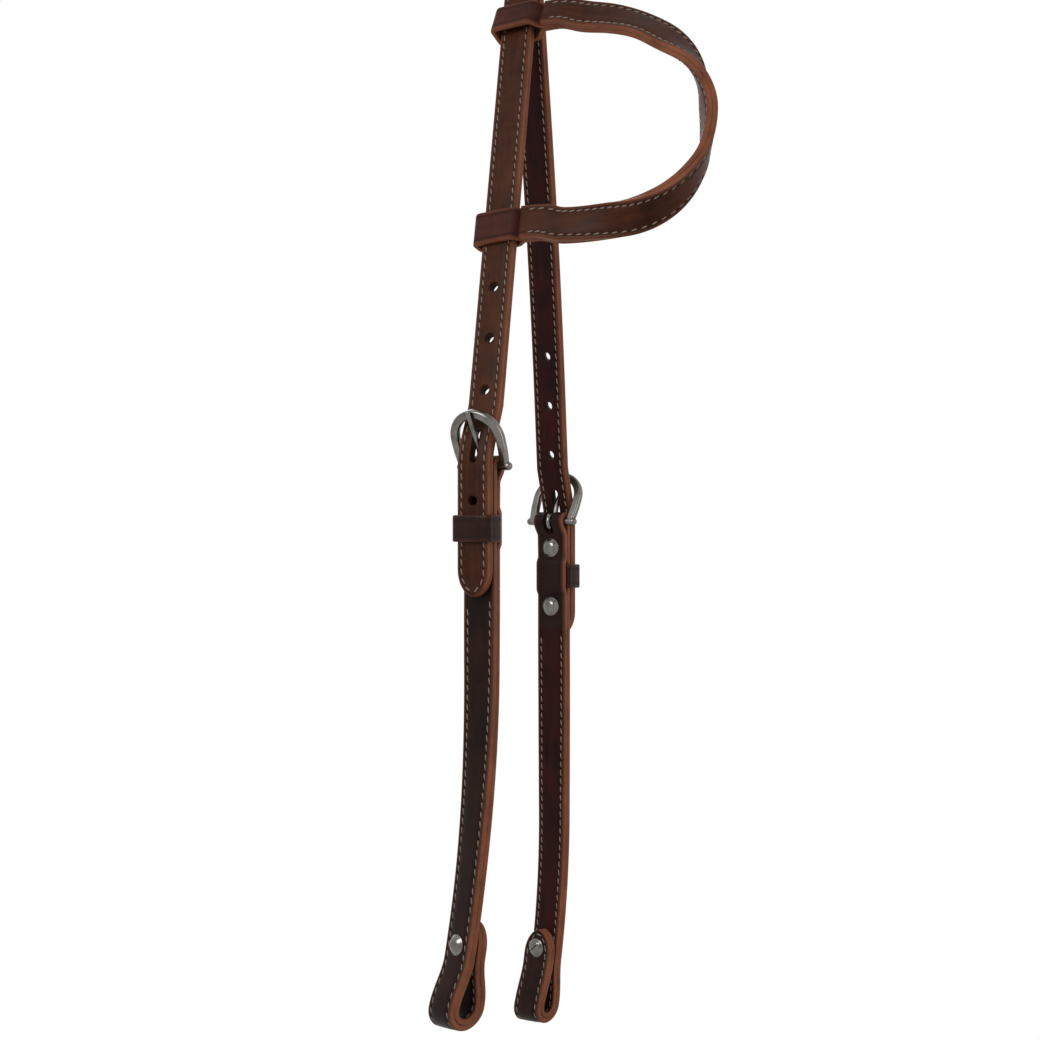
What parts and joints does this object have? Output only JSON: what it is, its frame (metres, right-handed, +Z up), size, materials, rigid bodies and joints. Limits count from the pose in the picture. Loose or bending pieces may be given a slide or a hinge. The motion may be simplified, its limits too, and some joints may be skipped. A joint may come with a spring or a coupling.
{
  "type": "western one-ear headstall",
  "caption": "Dark brown western headstall with a sliding ear loop, doubled stitched straps, horseshoe buckles and screw-closed bit loops.",
  "frame": {"origin": "middle of the underside of the crown's fold at the poll, where the headstall hangs on its peg", "axes": "+Z up along the hang; the off cheek's bit loop runs along X; the near side is towards -Y and the off side towards +Y; the ear loop reaches towards +X"},
  "size_m": [0.1913, 0.1761, 0.5088],
  "materials": {
    "strap_grain": "oiled dark chocolate grain, burnished edges",
    "lining": "smooth dark reddish lining",
    "keeper_leather": "oiled dark chocolate grain",
    "nickel": "polished nickel plate",
    "screw_steel": "bright turned heads"
  },
  "bodies": {
    "straps": {"crown_strap": "strap_grain", "crown_lining": "lining", "near_cheek_strap": "strap_grain", "near_cheek_lining": "lining", "near_keeper": "keeper_leather", "near_upper_screw_post": "screw_steel", "near_upper_screw": "screw_steel", "near_lower_screw_post": "screw_steel", "near_lower_screw": "screw_steel", "near_bit_screw_post": "screw_steel", "near_bit_screw": "screw_steel", "off_cheek_strap": "strap_grain", "off_cheek_lining": "lining", "off_keeper": "keeper_leather", "off_upper_screw_post": "screw_steel", "off_upper_screw": "screw_steel", "off_lower_screw_post": "screw_steel", "off_lower_screw": "screw_steel", "off_bit_screw_post": "screw_steel", "off_bit_screw": "screw_steel"},
    "ear_piece": {"ear_strap": "strap_grain", "ear_lining": "lining"},
    "near_frame": {"near_buckle_frame": "nickel"},
    "near_tongue": {"near_buckle_tongue": "nickel"},
    "off_frame": {"off_buckle_frame": "nickel"},
    "off_tongue": {"off_buckle_tongue": "nickel"}
  },
  "joints": [
    {"name": "near_frame_tilt", "type": "hinge", "parent": "straps", "child": "near_frame", "pos_m": [0.03897, -0.07104, -0.22505], "axis": [0.989, 0.1478, 0], "range_deg": [0, 4]},
    {"name": "near_tongue_swing", "type": "hinge", "parent": "near_frame", "child": "near_tongue", "pos_m": [0.03897, -0.07104, -0.22505], "axis": [0.989, 0.1478, 0], "range_deg": [0, 4]},
    {"name": "off_frame_tilt", "type": "hinge", "parent": "straps", "child": "off_frame", "pos_m": [-0.04351, 0.07018, -0.24975], "axis": [-0.989, -0.1478, 0], "range_deg": [0, 4]},
    {"name": "off_tongue_swing", "type": "hinge", "parent": "off_frame", "child": "off_tongue", "pos_m": [-0.04351, 0.07018, -0.24975], "axis": [-0.989, -0.1478, 0], "range_deg": [0, 4]},
    {"name": "ear_slide", "type": "slide", "parent": "straps", "child": "ear_piece", "axis": [0.1604, -0.3077, -0.9379], "range_m": [0, 0.07]}
  ]
}
